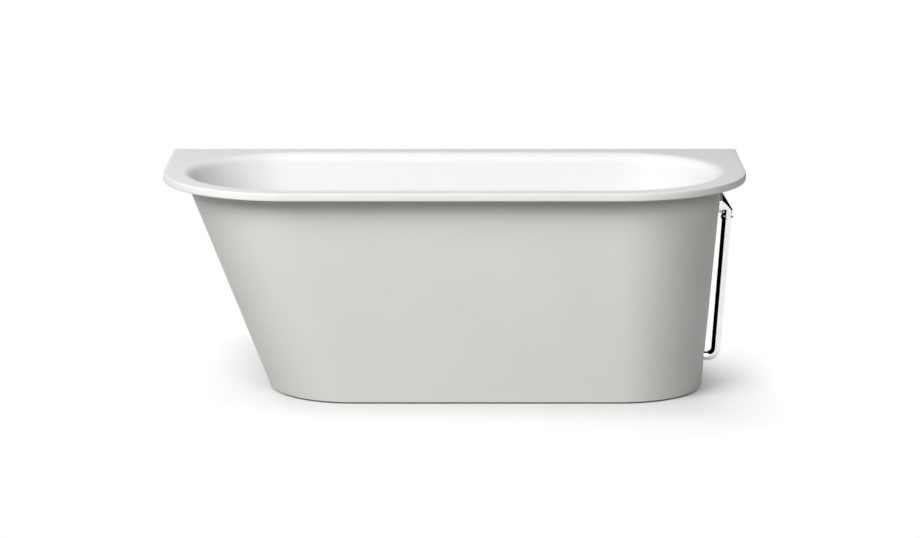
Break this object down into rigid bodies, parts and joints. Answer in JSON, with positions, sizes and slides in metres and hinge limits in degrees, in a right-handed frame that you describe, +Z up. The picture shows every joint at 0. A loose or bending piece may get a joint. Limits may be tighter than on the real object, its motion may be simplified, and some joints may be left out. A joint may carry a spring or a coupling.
{
  "type": "back-to-wall bathtub",
  "caption": "Single-ended back-to-wall bathtub with round front corners, sloping skirt, exposed chrome overflow pipe, push plug, trap and levelling feet.",
  "frame": {"origin": "on the floor, under the middle of the rim", "axes": "+X from the sloping head end to the foot end with the waste, +Y to the wall, +Z up"},
  "size_m": [1.7, 0.75, 0.625],
  "materials": {
    "white_acrylic": "gloss white acrylic",
    "skirt_paint": "satin pale green",
    "board": "particle board",
    "chrome": "polished chrome",
    "rubber": "matt black rubber",
    "zinc_steel": "zinc plate",
    "brass": "turned brass",
    "white_pipe": "moulded white plastic",
    "black_plastic": "moulded black plastic"
  },
  "bodies": {
    "bath": {"bath_shell": "white_acrylic", "outer_skirt": "skirt_paint", "base_board": "board", "head_rail": "zinc_steel", "foot_rail": "zinc_steel", "centre_leg_plate": "zinc_steel", "board_screws": "zinc_steel", "foot_lock_nuts": "zinc_steel", "head_skirt_stay": "zinc_steel", "foot_skirt_stay": "zinc_steel", "stay_bolts": "zinc_steel", "head_wall_bracket": "zinc_steel", "foot_wall_bracket": "zinc_steel", "bracket_screws": "zinc_steel", "overflow_elbow": "chrome", "overflow_gasket": "rubber", "overflow_spacer": "rubber", "overflow_seal": "rubber", "overflow_grid": "chrome", "overflow_grid_screw": "chrome", "overflow_collar": "chrome", "overflow_olive": "brass", "overflow_pipe": "chrome", "pipe_grommet": "rubber", "overflow_tail_seal": "rubber", "overflow_tail_nut": "white_pipe", "waste_flange": "chrome", "waste_top_seal": "rubber", "waste_under_seal": "rubber", "waste_backnut": "brass", "plug_guide": "brass", "plug_spring": "zinc_steel", "trap_body": "white_pipe", "trap_inlet_seal": "rubber", "trap_union_nut": "white_pipe"},
    "plug": {"plug_cap": "chrome", "plug_seal": "rubber", "plug_stem": "brass"},
    "trap_outlet": {"trap_outlet_elbow": "white_pipe", "swivel_seal": "rubber", "outlet_seal": "rubber", "outlet_nut": "white_pipe"},
    "levelling_foot_head_front": {"foot_pad_head_front": "black_plastic", "foot_stud_head_front": "zinc_steel"},
    "levelling_foot_head_back": {"foot_pad_head_back": "black_plastic", "foot_stud_head_back": "zinc_steel"},
    "levelling_foot_foot_front": {"foot_pad_foot_front": "black_plastic", "foot_stud_foot_front": "zinc_steel"},
    "levelling_foot_foot_back": {"foot_pad_foot_back": "black_plastic", "foot_stud_foot_back": "zinc_steel"},
    "levelling_foot_centre": {"foot_pad_centre": "black_plastic", "foot_stud_centre": "zinc_steel"}
  },
  "joints": [
    {"name": "plug_push", "type": "slide", "parent": "bath", "child": "plug", "axis": [0, 0, 1], "range_m": [-0.008, 0], "stiffness_N_per_m": 300, "springref_m": 0.012, "deforming": ["plug_spring"]},
    {"name": "trap_outlet_swivel", "type": "hinge", "parent": "bath", "child": "trap_outlet", "pos_m": [0.5, 0, 0.0733], "axis": [0, 0, 1], "range_deg": [-40, 90]},
    {"name": "level_head_front", "type": "slide", "parent": "bath", "child": "levelling_foot_head_front", "axis": [0, 0, -1], "range_m": [0, 0.02]},
    {"name": "level_head_back", "type": "slide", "parent": "bath", "child": "levelling_foot_head_back", "axis": [0, 0, -1], "range_m": [0, 0.02]},
    {"name": "level_foot_front", "type": "slide", "parent": "bath", "child": "levelling_foot_foot_front", "axis": [0, 0, -1], "range_m": [0, 0.02]},
    {"name": "level_foot_back", "type": "slide", "parent": "bath", "child": "levelling_foot_foot_back", "axis": [0, 0, -1], "range_m": [0, 0.02]},
    {"name": "level_centre", "type": "slide", "parent": "bath", "child": "levelling_foot_centre", "axis": [0, 0, -1], "range_m": [0, 0.02]}
  ]
}
